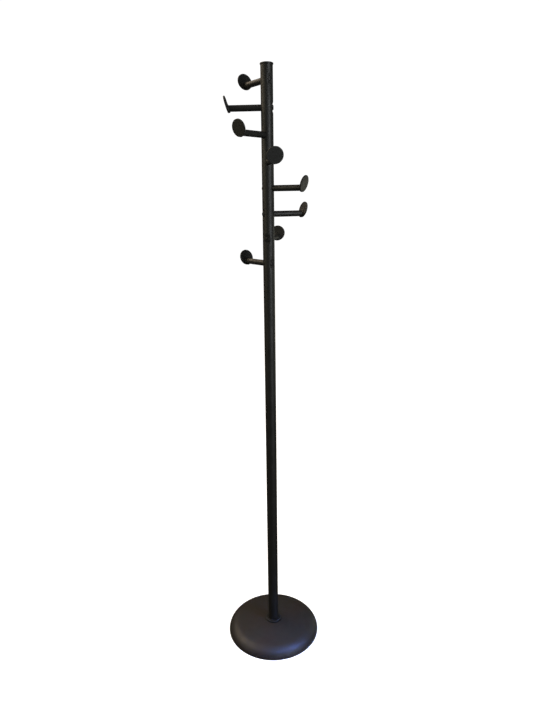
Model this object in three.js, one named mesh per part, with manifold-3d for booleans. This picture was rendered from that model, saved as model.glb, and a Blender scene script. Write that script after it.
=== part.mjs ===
// Standing coat rack: a knock-down tubular steel post on a weighted round base, with eight
// round-headed pegs that wind down the top third of the post in a spiral.
//
// Millimetres, +Z up. The origin is on the floor, on the post's axis. A peg's compass angle is
// counted from -Y (the front) towards +X (the right), as seen from above.

import * as THREE from 'three';
import { mergeVertices } from 'three/addons/utils/BufferGeometryUtils.js';
import Module from 'manifold-3d';

const wasm = await Module();
wasm.setup();

// ---------------------------------------------------------------------------------------------
// Driving dimensions
// ---------------------------------------------------------------------------------------------

const FIT_GAP = 0.3; // between pieces that touch, and around what passes through a hole

// Whole stand
const STAND_HEIGHT = 1700; // floor to the crown of the top cap
const BASE_DIAMETER = 290;

// Post: three lengths of round steel tube, screwed end to end
const POST_DIAMETER = 32;
const POST_WALL = 1.2;

// Screwed joints of the post
const JOINT_BUSH_LENGTH = 25;
const JOINT_STUD_DIAMETER = 12;
const JOINT_STUD_LENGTH = 44;
const JOINT_STUD_CHAMFER = 1.2;

// Top cap
const CAP_BRIM_OVERHANG = 1.3; // beyond the tube, all round
const CAP_BRIM_HEIGHT = 3;
const CAP_CROWN_RISE = 2.5;
const CAP_SKIRT_DEPTH = 14;
const CAP_WALL = 1.8;

// Spiral of pegs, numbered from the top down
const PEG_COUNT = 8;
const FIRST_PEG_DROP = 40; // from the crown of the cap down to the first peg's axis
const PEG_PITCH = 66;
const FIRST_PEG_ANGLE = -146;
const PEG_TURN = 52;
const LAST_PEG_TO_JOINT = 58; // the upper tube carries every peg, and ends this far below the last
const PEG_REACH = 100; // post's axis to the inner face of the disc, along the rod's axis
const ROD_DIAMETER = 16;
const ROD_CHAMFER = 1;
const ROD_THREAD_DEPTH = 16;

// Disc on each peg's end
const DISC_DIAMETER = 43;
const DISC_THICKNESS = 4;
const DISC_TILT = 16; // outwards at the top
const DISC_RISE = 11; // rod's axis up to the disc's centre, along the disc

// Pressed dimple behind each peg, and the screw that sits in it
const DIMPLE_DEPTH = 2;
const DIMPLE_SEAT_DIAMETER = 16;
const DIMPLE_MOUTH_DIAMETER = 28;
const SCREW_DIAMETER = 6;
const SCREW_LENGTH = 14;
const SCREW_HEAD_DIAMETER = 12.5;
const SCREW_HEAD_HEIGHT = 2.2;
const SCREW_SOCKET_ACROSS_CORNERS = 4.6;
const SCREW_SOCKET_DEPTH = 1.4;

// Base cover: a pressed dome with a rounded shoulder and an upright rim
const COVER_WALL = 1.5;
const COVER_RIM_CLEARANCE = 1.5; // rim's edge above the floor
const COVER_RIM_HEIGHT = 2.5; // upright part of the rim
const SHOULDER_WIDTH = 38;
const SHOULDER_HEIGHT = 28;
const SHOULDER_END_ANGLE = 83; // round the shoulder's quarter ellipse, where the dome takes over
const COVER_SEAT_DIAMETER = 54; // flat at the middle, under the collar

// Base weight, bottom plate, pads
const PAD_COUNT = 6;
const PAD_DIAMETER = 20;
const PAD_THICKNESS = 3;
const PAD_INSET = 21; // plate's edge to a pad's centre
const PLATE_THICKNESS = 1.2;
const PLATE_EDGE_CLEARANCE = 4.5; // inside the cover's rim
const PLATE_CUP_DIAMETER = 36; // raised cup in the plate that hides the bolt's head
const PLATE_CUP_FLARE = 6;
const PLATE_CUP_DEPTH = 8;
const WEIGHT_EDGE_CLEARANCE = 18.5; // inside the cover's rim
const WEIGHT_THICKNESS = 12;
const WEIGHT_BOSS_DIAMETER = 70;

// Collar at the post's foot and the bolt that pulls the post down
const COLLAR_WALL = 8.7; // beyond the tube and its clearance
const COLLAR_HEIGHT = 6;
const COLLAR_FLOOR = 2;
const COLLAR_CHAMFER = 1;
const FOOT_BUSH_LENGTH = 30;
const BOLT_DIAMETER = 10;
const BOLT_LENGTH = 55; // under the head
const BOLT_CHAMFER = 1;
const BOLT_HEAD_ACROSS_FLATS = 17;
const BOLT_HEAD_HEIGHT = 6.4;
const WASHER_DIAMETER = 21;
const WASHER_THICKNESS = 2;

// Sides that the round pieces are cut into
const BASE_SIDES = 48;
const TUBE_SIDES = 32;
const ROD_SIDES = 16;
const DISC_SIDES = 28;
const SMALL_SIDES = 20;

// ---------------------------------------------------------------------------------------------
// Derived places
// ---------------------------------------------------------------------------------------------

const postRadius = POST_DIAMETER / 2;
const boreRadius = postRadius - POST_WALL;
const bushRadius = boreRadius - FIT_GAP;
const rodRadius = ROD_DIAMETER / 2;
const boltHoleRadius = BOLT_DIAMETER / 2 + FIT_GAP;
const rimBoreRadius = BASE_DIAMETER / 2 - COVER_WALL;
const plateRadius = rimBoreRadius - PLATE_EDGE_CLEARANCE;
const weightRadius = rimBoreRadius - WEIGHT_EDGE_CLEARANCE;
const collarRadius = postRadius + FIT_GAP + COLLAR_WALL;

// Shoulder's end: a point and a slope on a quarter ellipse
const shoulderCentreRadius = BASE_DIAMETER / 2 - SHOULDER_WIDTH;
const shoulderFoot = COVER_RIM_CLEARANCE + COVER_RIM_HEIGHT;
const shoulderEnd = THREE.MathUtils.degToRad(SHOULDER_END_ANGLE);
const domeEdgeRadius = shoulderCentreRadius + SHOULDER_WIDTH * Math.cos(shoulderEnd);
const domeEdgeHeight = shoulderFoot + SHOULDER_HEIGHT * Math.sin(shoulderEnd);
const domeEdgeSlope = SHOULDER_HEIGHT / SHOULDER_WIDTH / Math.tan(shoulderEnd);
const domeHeight = (r) =>
  domeEdgeHeight + (domeEdgeSlope * (domeEdgeRadius ** 2 - r ** 2)) / (2 * domeEdgeRadius);
const coverTop = domeHeight(COVER_SEAT_DIAMETER / 2);

// Pegs
const pegHeight = (index) => STAND_HEIGHT - FIRST_PEG_DROP - index * PEG_PITCH;
const pegAngle = (index) => THREE.MathUtils.degToRad(FIRST_PEG_ANGLE + index * PEG_TURN);
const dimpleFloor = postRadius - DIMPLE_DEPTH; // outer face of the wall, from the post's axis
const rodTail = dimpleFloor - POST_WALL - FIT_GAP; // rod's inner end, behind the post's axis
const boreChord = (half) => Math.sqrt((boreRadius - FIT_GAP) ** 2 - half ** 2);
const rodTailRadius = Math.min(rodRadius - ROD_CHAMFER, boreChord(rodTail));
const rodShoulder = Math.min(rodTail - ROD_CHAMFER, boreChord(rodRadius)); // full width from here
const discTilt = THREE.MathUtils.degToRad(DISC_TILT);

// Foot of the post, and the three tubes above it: the two plain ones share what the pegs leave
const collarBottom = coverTop + FIT_GAP;
const postBottom = collarBottom + COLLAR_FLOOR + FIT_GAP;
const postTop = STAND_HEIGHT - CAP_CROWN_RISE - CAP_BRIM_HEIGHT - FIT_GAP;
const upperBottom = pegHeight(PEG_COUNT - 1) - LAST_PEG_TO_JOINT;
const middleBottom = (postBottom + upperBottom) / 2;

// Stack under the cover
const plateBottom = PAD_THICKNESS + FIT_GAP;
const weightBottom = plateBottom + PLATE_THICKNESS + FIT_GAP;
const cupCeiling = plateBottom + PLATE_CUP_DEPTH; // underside of the plate inside its cup
const washerTop = cupCeiling - FIT_GAP;
const boltSeat = washerTop - WASHER_THICKNESS - FIT_GAP; // underside of the bolt's head

// ---------------------------------------------------------------------------------------------
// Finishes
// ---------------------------------------------------------------------------------------------

const finish = (color, roughness, metalness) =>
  new THREE.MeshStandardMaterial({ color, roughness, metalness });

const blackPowderCoat = () => finish(0x24231f, 0.45, 0.35);
const brownPowderCoat = () => finish(0x2d2926, 0.5, 0.35);
const blackPlastic = () => finish(0x1c1c1c, 0.55, 0);
const blackRubber = () => finish(0x151515, 0.9, 0);
const castIron = () => finish(0x3c3b39, 0.75, 0.6);
const zincPlate = () => finish(0xa9abad, 0.35, 0.9);

// ---------------------------------------------------------------------------------------------
// Shape helpers
// ---------------------------------------------------------------------------------------------

/** Solid of revolution about Z, from [radius, height] points that start and end on the axis. */
function turned(points, sides) {
  const profile = points.map(([radius, height]) => new THREE.Vector2(radius, height));
  return new THREE.LatheGeometry(profile, sides).rotateX(Math.PI / 2);
}

/** Ring about Z: the profile closes on itself, and runs anticlockwise in the radius-height plane. */
function ring(points, sides) {
  return turned([...points, points[0]], sides);
}

/** Round bar about Z between two heights. */
function bar(radius, bottom, top, sides) {
  return turned([[0, bottom], [radius, bottom], [radius, top], [0, top]], sides);
}

/** Washer-shaped ring about Z between two heights. */
function sleeve(inner, outer, bottom, top, sides) {
  return ring([[outer, bottom], [outer, top], [inner, top], [inner, bottom]], sides);
}

/** Round bar about Z with both ends chamfered. */
function chamferedBar(radius, bottom, top, chamfer, sides) {
  return turned(
    [
      [0, bottom],
      [radius - chamfer, bottom],
      [radius, bottom + chamfer],
      [radius, top - chamfer],
      [radius - chamfer, top],
      [0, top],
    ],
    sides,
  );
}

function toSolid(geometry) {
  const bare = geometry.clone();
  bare.deleteAttribute('normal');
  bare.deleteAttribute('uv');
  const merged = mergeVertices(bare, 1e-4);
  const { Manifold, Mesh } = wasm;
  return new Manifold(
    new Mesh({
      numProp: 3,
      vertProperties: new Float32Array(merged.attributes.position.array),
      triVerts: new Uint32Array(merged.index.array),
    }),
  );
}

function toGeometry(solid) {
  const { vertProperties, triVerts } = solid.getMesh();
  const geometry = new THREE.BufferGeometry();
  geometry.setAttribute('position', new THREE.BufferAttribute(new Float32Array(vertProperties), 3));
  geometry.setIndex(new THREE.BufferAttribute(new Uint32Array(triVerts), 1));
  geometry.computeVertexNormals();
  return geometry;
}

const coatRack = new THREE.Group();

function addPiece(name, geometry, material, parent = coatRack) {
  const piece = new THREE.Mesh(geometry, material);
  piece.name = name;
  parent.add(piece);
  return piece;
}

// ---------------------------------------------------------------------------------------------
// Base: pads, bottom plate, weight, cover
// ---------------------------------------------------------------------------------------------

function addPads() {
  for (let index = 0; index < PAD_COUNT; index += 1) {
    const angle = (index / PAD_COUNT) * 2 * Math.PI;
    const geometry = bar(PAD_DIAMETER / 2, 0, PAD_THICKNESS, SMALL_SIDES);
    const pad = addPiece(`foot_pad_${index + 1}`, geometry, blackRubber());
    const radius = plateRadius - PAD_INSET;
    pad.position.set(radius * Math.sin(angle), -radius * Math.cos(angle), 0);
  }
}

/** Sheet steel disc, pressed up at the middle into a cup with a sloping side. */
function addBottomPlate() {
  const underside = [
    [PLATE_CUP_DIAMETER / 2 - PLATE_CUP_FLARE, cupCeiling],
    [PLATE_CUP_DIAMETER / 2, plateBottom],
    [plateRadius, plateBottom],
  ];
  const topside = [...underside].reverse().map(([r, z]) => [r, z + PLATE_THICKNESS]);
  const points = [[boltHoleRadius, cupCeiling], ...underside, ...topside];
  points.push([boltHoleRadius, cupCeiling + PLATE_THICKNESS]);
  addPiece('base_bottom_plate', ring(points, BASE_SIDES), zincPlate());
}

/** Iron disc with a boss at the middle that reaches the cover, and a recess over the cup. */
function addWeight() {
  const recessBottom = PLATE_CUP_DIAMETER / 2 + FIT_GAP + PLATE_CUP_FLARE / 2;
  const recessCeiling = cupCeiling + PLATE_THICKNESS + FIT_GAP;
  const bossTop = coverTop - COVER_WALL - FIT_GAP;
  const discTop = weightBottom + WEIGHT_THICKNESS;
  const points = [
    [boltHoleRadius, recessCeiling],
    [recessBottom - PLATE_CUP_FLARE, recessCeiling],
    [recessBottom, weightBottom],
    [weightRadius, weightBottom],
    [weightRadius, discTop],
    [WEIGHT_BOSS_DIAMETER / 2, discTop],
    [COVER_SEAT_DIAMETER / 2, bossTop],
    [boltHoleRadius, bossTop],
  ];
  addPiece('base_weight', ring(points, BASE_SIDES), castIron());
}

/** Outer half of the cover's section, from the rim's edge to the bolt hole, moved in by inset. */
function coverSection(inset) {
  const points = [[BASE_DIAMETER / 2 - inset, COVER_RIM_CLEARANCE]];
  const shoulderSteps = 7;
  for (let step = 0; step <= shoulderSteps; step += 1) {
    const angle = (step / shoulderSteps) * shoulderEnd;
    points.push([
      shoulderCentreRadius + (SHOULDER_WIDTH - inset) * Math.cos(angle),
      shoulderFoot + (SHOULDER_HEIGHT - inset) * Math.sin(angle),
    ]);
  }
  const domeSteps = 3;
  for (let step = 1; step <= domeSteps; step += 1) {
    const radius = THREE.MathUtils.lerp(domeEdgeRadius, COVER_SEAT_DIAMETER / 2, step / domeSteps);
    points.push([radius, domeHeight(radius) - inset]);
  }
  points.push([boltHoleRadius, coverTop - inset]);
  return points;
}

function addCover() {
  const points = [...coverSection(0), ...coverSection(COVER_WALL).reverse()];
  addPiece('base_cover', ring(points, BASE_SIDES), brownPowderCoat());
}

// ---------------------------------------------------------------------------------------------
// Foot joint: collar, bush, bolt and washer
// ---------------------------------------------------------------------------------------------

/** Low cup that the tube stands in, clamped between the tube and the cover. */
function addCollar() {
  const inner = postRadius + FIT_GAP;
  const top = collarBottom + COLLAR_HEIGHT;
  const floor = collarBottom + COLLAR_FLOOR;
  const points = [
    [boltHoleRadius, collarBottom],
    [collarRadius, collarBottom],
    [collarRadius, top - COLLAR_CHAMFER],
    [collarRadius - COLLAR_CHAMFER, top],
    [inner, top],
    [inner, floor],
    [boltHoleRadius, floor],
  ];
  addPiece('post_collar', ring(points, DISC_SIDES), blackPowderCoat());
}

function addFootJoint() {
  const bushTop = postBottom + FOOT_BUSH_LENGTH;
  const bush = sleeve(boltHoleRadius, bushRadius, postBottom, bushTop, SMALL_SIDES);
  addPiece('foot_bush', bush, zincPlate());

  const washerBottom = washerTop - WASHER_THICKNESS;
  const washerRadius = WASHER_DIAMETER / 2;
  const washer = sleeve(boltHoleRadius, washerRadius, washerBottom, washerTop, SMALL_SIDES);
  addPiece('base_bolt_washer', washer, zincPlate());

  const hexSides = 6;
  const headCornerRadius = BOLT_HEAD_ACROSS_FLATS / 2 / Math.cos(Math.PI / hexSides);
  const headBottom = boltSeat - BOLT_HEAD_HEIGHT;
  const head = toSolid(bar(headCornerRadius, headBottom, boltSeat, hexSides));
  const boltTop = boltSeat + BOLT_LENGTH;
  const shankFoot = boltSeat - BOLT_HEAD_HEIGHT / 2; // inside the head
  const shank = chamferedBar(BOLT_DIAMETER / 2, shankFoot, boltTop, BOLT_CHAMFER, ROD_SIDES);
  addPiece('base_bolt', toGeometry(head.add(toSolid(shank))), zincPlate());
}

// ---------------------------------------------------------------------------------------------
// Post: three tubes, two screwed joints, top cap
// ---------------------------------------------------------------------------------------------

/** Cone that presses the dimple, along +X, with its small flat end at the dimple's floor. */
function dimplePunch() {
  const seat = DIMPLE_SEAT_DIAMETER / 2;
  const flare = (DIMPLE_MOUTH_DIAMETER - DIMPLE_SEAT_DIAMETER) / 2 / DIMPLE_DEPTH;
  const reach = DIMPLE_DEPTH + 1; // well clear of the tube
  const profile = [[0, 0], [seat, 0], [seat + flare * reach, reach], [0, reach]];
  return toSolid(turned(profile, SMALL_SIDES).rotateY(Math.PI / 2));
}

/** Round cutter along +X from the post's axis to beyond its wall. */
function wallDrill(radius) {
  return toSolid(bar(radius, 0, postRadius + 1, ROD_SIDES).rotateY(Math.PI / 2));
}

/** Puts a solid that lies along +X onto the post, pointing along a compass angle. */
function aimed(solid, angle, offset, height) {
  const degrees = THREE.MathUtils.radToDeg(angle) - 90;
  return solid.translate([offset, 0, 0]).rotate([0, 0, degrees]).translate([0, 0, height]);
}

/** Tube between two heights, with a hole and a pressed dimple for each peg that falls on it. */
function postTube(bottom, top) {
  const end = 1; // the bore's cutter passes the tube's ends by this much
  let outside = toSolid(bar(postRadius, bottom, top, TUBE_SIDES));
  let inside = toSolid(bar(boreRadius, bottom - end, top + end, TUBE_SIDES));
  let holes = null;
  const punch = dimplePunch();
  const rodDrill = wallDrill(rodRadius + FIT_GAP);
  const screwDrill = wallDrill(SCREW_DIAMETER / 2 + FIT_GAP);
  for (let index = 0; index < PEG_COUNT; index += 1) {
    const height = pegHeight(index);
    if (height < bottom || height > top) continue;
    const angle = pegAngle(index);
    const back = angle + Math.PI;
    outside = outside.subtract(aimed(punch, back, dimpleFloor, height));
    inside = inside.subtract(aimed(punch, back, dimpleFloor - POST_WALL, height));
    const pair = aimed(rodDrill, angle, 0, height).add(aimed(screwDrill, back, 0, height));
    holes = holes ? holes.add(pair) : pair;
  }
  const tube = outside.subtract(inside);
  return toGeometry(holes ? tube.subtract(holes) : tube);
}

function addPost() {
  const addTube = (section, bottom, top) =>
    addPiece(`post_tube_${section}`, postTube(bottom, top), blackPowderCoat());
  addTube('lower', postBottom, middleBottom - FIT_GAP);
  addTube('middle', middleBottom, upperBottom - FIT_GAP);
  addTube('upper', upperBottom, postTop);
}

/** A bush in the end of each of the two tubes that meet, and the stud that both screw onto. */
function addPostJoint(name, meeting) {
  const lowerTubeTop = meeting - FIT_GAP;
  const threadRadius = JOINT_STUD_DIAMETER / 2 + FIT_GAP;
  const bush = (bottom, top) => sleeve(threadRadius, bushRadius, bottom, top, SMALL_SIDES);
  const below = bush(lowerTubeTop - JOINT_BUSH_LENGTH, lowerTubeTop);
  const above = bush(meeting, meeting + JOINT_BUSH_LENGTH);
  addPiece(`${name}_bush_below`, below, zincPlate());
  addPiece(`${name}_bush_above`, above, zincPlate());

  const half = JOINT_STUD_LENGTH / 2;
  const radius = JOINT_STUD_DIAMETER / 2;
  const stud = chamferedBar(radius, meeting - half, meeting + half, JOINT_STUD_CHAMFER, ROD_SIDES);
  addPiece(`${name}_stud`, stud, zincPlate());
}

/** Domed plastic cap with a brim that overhangs the tube and a hollow skirt inside it. */
function addCap() {
  const brimRadius = postRadius + CAP_BRIM_OVERHANG;
  const brimBottom = postTop + FIT_GAP;
  const brimTop = brimBottom + CAP_BRIM_HEIGHT;
  const skirtBottom = brimBottom - CAP_SKIRT_DEPTH;
  const points = [
    [0, brimBottom],
    [bushRadius - CAP_WALL, brimBottom],
    [bushRadius - CAP_WALL, skirtBottom],
    [bushRadius, skirtBottom],
    [bushRadius, brimBottom],
    [brimRadius, brimBottom],
  ];
  const crownSteps = 4;
  for (let step = 0; step <= crownSteps; step += 1) {
    const angle = ((step / crownSteps) * Math.PI) / 2;
    points.push([brimRadius * Math.cos(angle), brimTop + CAP_CROWN_RISE * Math.sin(angle)]);
  }
  addPiece('top_cap', turned(points, TUBE_SIDES), blackPlastic());
}

// ---------------------------------------------------------------------------------------------
// Pegs: rod, disc and screw
// ---------------------------------------------------------------------------------------------

/** Solid bar along +X: chamfered and tapped at its tail, cut on the disc's slant at its nose. */
function rodGeometry() {
  const threadRadius = SCREW_DIAMETER / 2 + FIT_GAP;
  const nose = PEG_REACH - FIT_GAP / Math.cos(discTilt);
  const points = [
    [0, ROD_THREAD_DEPTH - rodTail],
    [threadRadius, ROD_THREAD_DEPTH - rodTail],
    [threadRadius, -rodTail],
    [rodTailRadius, -rodTail],
    [rodRadius, -rodShoulder],
    [rodRadius, nose],
    [0, nose],
  ];
  const geometry = turned(points, ROD_SIDES).rotateY(Math.PI / 2);
  const position = geometry.attributes.position;
  for (let index = 0; index < position.count; index += 1) {
    const atNose = Math.abs(position.getX(index) - nose) < 1e-3;
    if (atNose) position.setX(index, nose + position.getZ(index) * Math.tan(discTilt));
  }
  return geometry;
}

/** Disc whose inner face passes through the end of the rod's axis, leaning outwards. */
function discGeometry() {
  const disc = bar(DISC_DIAMETER / 2, 0, DISC_THICKNESS, DISC_SIDES);
  return disc
    .rotateY(Math.PI / 2)
    .translate(0, 0, DISC_RISE)
    .rotateY(discTilt)
    .translate(PEG_REACH, 0, 0);
}

/** Low round-headed screw along -X, its head on the dimple's floor and its point in the rod. */
function screwGeometry() {
  const headRadius = SCREW_HEAD_DIAMETER / 2;
  const shankRadius = SCREW_DIAMETER / 2;
  const crownRadius = headRadius * 0.72; // edge of the head's flat crown
  const seat = -dimpleFloor - FIT_GAP;
  const crown = seat - SCREW_HEAD_HEIGHT;
  const profile = [
    [0, crown],
    [crownRadius, crown],
    [headRadius, seat - SCREW_HEAD_HEIGHT * 0.35],
    [headRadius, seat],
    [shankRadius, seat],
    [shankRadius, seat + SCREW_LENGTH],
    [0, seat + SCREW_LENGTH],
  ];
  const hexSides = 6;
  const socketRadius = SCREW_SOCKET_ACROSS_CORNERS / 2;
  const socket = bar(socketRadius, crown - 1, crown + SCREW_SOCKET_DEPTH, hexSides);
  const screw = toSolid(turned(profile, ROD_SIDES)).subtract(toSolid(socket));
  return toGeometry(screw).rotateY(Math.PI / 2);
}

function addPegs() {
  for (let index = 0; index < PEG_COUNT; index += 1) {
    const peg = new THREE.Group();
    peg.position.z = pegHeight(index);
    peg.rotation.z = pegAngle(index) - Math.PI / 2;
    coatRack.add(peg);
    const name = `peg_${index + 1}`;
    addPiece(`${name}_rod`, rodGeometry(), blackPowderCoat(), peg);
    addPiece(`${name}_disc`, discGeometry(), blackPowderCoat(), peg);
    addPiece(`${name}_screw`, screwGeometry(), blackPowderCoat(), peg);
  }
}

// ---------------------------------------------------------------------------------------------
// The assembly, from the floor up
// ---------------------------------------------------------------------------------------------

addPads();
addBottomPlate();
addWeight();
addCover();
addCollar();
addFootJoint();
addPost();
addPostJoint('lower_joint', middleBottom);
addPostJoint('upper_joint', upperBottom);
addCap();
addPegs();

export default coatRack;
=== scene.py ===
# %% [markdown]
# # A standing coat rack
#
# A slim steel post stands on a heavy round base. Eight pegs wind down its upper part in a spiral,
# and each peg is a rod with a round disc welded on its end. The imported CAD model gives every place
# and size. This lesson rebuilds the pieces that can be seen with finer shapes and real finishes.

# %% Load the frame
import math
from contextlib import contextmanager

import bmesh
import bpy
from mathutils import Matrix, Vector


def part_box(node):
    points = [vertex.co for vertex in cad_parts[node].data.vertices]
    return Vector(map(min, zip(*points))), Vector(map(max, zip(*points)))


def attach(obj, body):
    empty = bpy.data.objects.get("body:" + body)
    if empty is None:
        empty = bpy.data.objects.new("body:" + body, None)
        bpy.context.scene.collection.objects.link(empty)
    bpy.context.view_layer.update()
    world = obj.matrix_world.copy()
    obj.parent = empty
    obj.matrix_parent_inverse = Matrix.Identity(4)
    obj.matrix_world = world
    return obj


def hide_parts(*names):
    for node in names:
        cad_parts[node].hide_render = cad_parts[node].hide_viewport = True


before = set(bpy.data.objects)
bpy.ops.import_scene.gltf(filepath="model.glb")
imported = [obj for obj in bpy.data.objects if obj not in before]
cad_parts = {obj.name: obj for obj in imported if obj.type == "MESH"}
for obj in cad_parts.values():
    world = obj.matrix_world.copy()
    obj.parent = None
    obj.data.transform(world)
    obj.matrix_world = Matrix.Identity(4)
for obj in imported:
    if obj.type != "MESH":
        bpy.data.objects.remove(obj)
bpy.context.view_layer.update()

MM = 0.001
TOUCH = 0.01 * MM  # closer than this counts as the same place
print("nodes in the frame:", len(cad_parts))

# %% [markdown]
# ## Camera
#
# The camera stands about a metre and a half in front of the post, at chest height, and looks down
# at it. The lens's 36 mm belongs to the upright frame's height. A small roll leans the post to the left.
# It could be aimed with a Track To constraint, but three angles say exactly where it looks.

# %% Place the camera
CAMERA_PLACE = Vector((0.0, -1.5815, 1.3708))
CAMERA_PITCH = math.radians(15.84)
CAMERA_YAW = math.radians(-0.02)
CAMERA_ROLL = math.radians(-0.72)
CAMERA_LENS = 28.51


def camera_turn(pitch, yaw, roll):
    """The camera's rotation: level and facing +Y first, then rolled, pitched down and turned."""
    level = Matrix.Rotation(math.pi / 2 - pitch, 4, "X")
    return Matrix.Rotation(-yaw, 4, "Z") @ level @ Matrix.Rotation(roll, 4, "Z")


camera_data = bpy.data.cameras.new("camera")
camera_data.lens = CAMERA_LENS
camera_data.sensor_width = 36
camera = bpy.data.objects.new("camera", camera_data)
bpy.context.scene.collection.objects.link(camera)
camera.matrix_world = Matrix.Translation(CAMERA_PLACE) @ camera_turn(
    CAMERA_PITCH, CAMERA_YAW, CAMERA_ROLL
)
bpy.context.scene.camera = camera
print("camera height in metres:", CAMERA_PLACE.z, "lens:", CAMERA_LENS)

# %% [markdown]
# ## Helpers for modelling by hand
#
# An operator works on whatever is selected, so each step first deselects everything. `editing`
# opens one piece in edit mode, and `pick` selects its points, edges or faces by where they are.


# %% Selecting and editing
def deselect_all():
    bpy.ops.object.select_all(action="DESELECT")


def select_only(piece):
    deselect_all()
    piece.select_set(True)
    bpy.context.view_layer.objects.active = piece


@contextmanager
def editing(piece):
    """Edit mode on one piece, with nothing in it selected at first."""
    select_only(piece)
    bpy.ops.object.mode_set(mode="EDIT")
    bpy.ops.mesh.select_mode(type="VERT")
    bpy.ops.mesh.select_all(action="DESELECT")
    yield
    bpy.ops.object.mode_set(mode="OBJECT")


def middle(part):
    """Where a point is, or the middle of an edge or a face."""
    if isinstance(part, bmesh.types.BMVert):
        return part.co
    if isinstance(part, bmesh.types.BMEdge):
        return (part.verts[0].co + part.verts[1].co) / 2
    return part.calc_center_median()


def pick(piece, kind, test):
    """Selects only the VERT, EDGE or FACE parts whose middle passes the test, and counts them."""
    bpy.ops.mesh.select_mode(type=kind)
    bpy.ops.mesh.select_all(action="DESELECT")
    mesh = bmesh.from_edit_mesh(piece.data)
    parts = {"VERT": mesh.verts, "EDGE": mesh.edges, "FACE": mesh.faces}[kind]
    chosen = [part for part in parts if test(middle(part))]
    for part in chosen:
        part.select_set(True)
    bmesh.update_edit_mesh(piece.data)
    return len(chosen)


def named(name):
    """The piece that the last operator added, under its own name."""
    piece = bpy.context.object
    piece.name = name
    piece.data.name = name
    return piece


# %% [markdown]
# ## Helpers for finishing a piece
#
# A modifier is applied as soon as it has done its work. A finished piece keeps its place in its
# mesh and not in its object, so that patterns stay put.


# %% Modifiers, copies and places
def modify(piece, kind, **settings):
    """Adds one modifier and applies it."""
    select_only(piece)
    modifier = piece.modifiers.new(kind, kind)
    for setting, value in settings.items():
        setattr(modifier, setting, value)
    bpy.ops.object.modifier_apply(modifier=modifier.name)


def settle(piece):
    """Moves the object's own place, turn and scale into its mesh."""
    select_only(piece)
    bpy.ops.object.transform_apply(location=True, rotation=True, scale=True)


def copy_at(piece, name, turn=0.0, place=(0, 0, 0)):
    """A copy with its own mesh, turned about the post's axis and then moved."""
    twin = piece.copy()
    twin.data = piece.data.copy()
    bpy.context.scene.collection.objects.link(twin)
    twin.name = name
    twin.data.name = name
    twin.rotation_euler.z = turn
    twin.location = place
    settle(twin)
    return twin


def discard(*pieces):
    for piece in pieces:
        bpy.data.objects.remove(piece, do_unlink=True)


def joined(pieces, name):
    """Several pieces made one mesh, with the points that meet merged."""
    deselect_all()
    for piece in pieces:
        piece.select_set(True)
    bpy.context.view_layer.objects.active = pieces[0]
    bpy.ops.object.join()
    whole = named(name)
    with editing(whole):
        bpy.ops.mesh.select_all(action="SELECT")
        bpy.ops.mesh.remove_doubles(threshold=TOUCH)
        bpy.ops.mesh.normals_make_consistent(inside=False)
    return whole


def finish_piece(piece, nodes, material, smooth=35):
    """Smooth shading, a finish, and the CAD nodes that the piece stands for."""
    select_only(piece)
    bpy.ops.object.shade_smooth_by_angle(angle=math.radians(smooth))
    piece.data.materials.clear()
    piece.data.materials.append(material)
    if nodes:
        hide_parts(*nodes)
    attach(piece, "root")


# %% [markdown]
# Where cloth and shoes rub a piece, its mesh carries a number on every point, from 0 for an
# untouched place to 1 for a rubbed one. It could be painted by hand; a rule on the point's place
# does the same and is easy to repeat.


# %% Rubbed places
def rubbed(piece, amount):
    """Writes the rub attribute: amount gives a number for each point's place."""
    values = [amount(point.co) for point in piece.data.vertices]
    rub = piece.data.attributes.new("rub", "FLOAT", "POINT")
    rub.data.foreach_set("value", values)


def fade(value, start, end):
    """0 before start, 1 after end, and a smooth rise between them."""
    rise = min(max((value - start) / (end - start), 0), 1)
    return rise * rise * (3 - 2 * rise)


# %% [markdown]
# Round pieces with a shaped edge are spun, as on a lathe: one point is drawn out into half the
# section, and the section is swept once round the post's axis. A Screw modifier would do the same,
# but the spin operator leaves real faces at once.


# %% Spinning a section
def arc(centre, radii, start, end, steps):
    """Points of an elliptical arc in the section, from one angle to another, in degrees."""
    points = []
    for step in range(steps + 1):
        angle = math.radians(start + (end - start) * step / steps)
        across = centre[0] + radii[0] * math.cos(angle)
        up = centre[1] + radii[1] * math.sin(angle)
        points.append((across, up))
    return points


def spun(name, section, sides):
    """A surface of revolution about the post's axis, from (radius, height) points."""
    bpy.ops.mesh.primitive_plane_add(size=MM)
    piece = named(name)
    with editing(piece):
        bpy.ops.mesh.select_all(action="SELECT")
        bpy.ops.mesh.merge(type="CENTER")
        bpy.ops.transform.translate(value=(section[0][0], 0, section[0][1]))
        for here, there in zip(section, section[1:]):
            step = (there[0] - here[0], 0, there[1] - here[1])
            bpy.ops.mesh.extrude_region_move(TRANSFORM_OT_translate={"value": step})
        bpy.ops.mesh.select_all(action="SELECT")
        bpy.ops.mesh.spin(steps=sides, angle=math.tau, center=(0, 0, 0), axis=(0, 0, 1))
        bpy.ops.mesh.select_all(action="SELECT")
        bpy.ops.mesh.remove_doubles(threshold=0.002 * MM)
        bpy.ops.mesh.normals_make_consistent(inside=False)
    print(name, "has", len(piece.data.polygons), "faces")
    return piece


# %% [markdown]
# ## Finishes
#
# Every finish is a small node tree on Object coordinates, so its grain keeps one real scale on all
# pieces. `grain` gives a noise at a feature size in millimetres, and `rough_up` turns such a noise
# into small bumps.


# %% Node helpers
def new_finish(name):
    """A material with its node tree and its shader."""
    material = bpy.data.materials.new(name)
    material.use_nodes = True
    tree = material.node_tree
    return material, tree, tree.nodes["Principled BSDF"]


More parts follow.
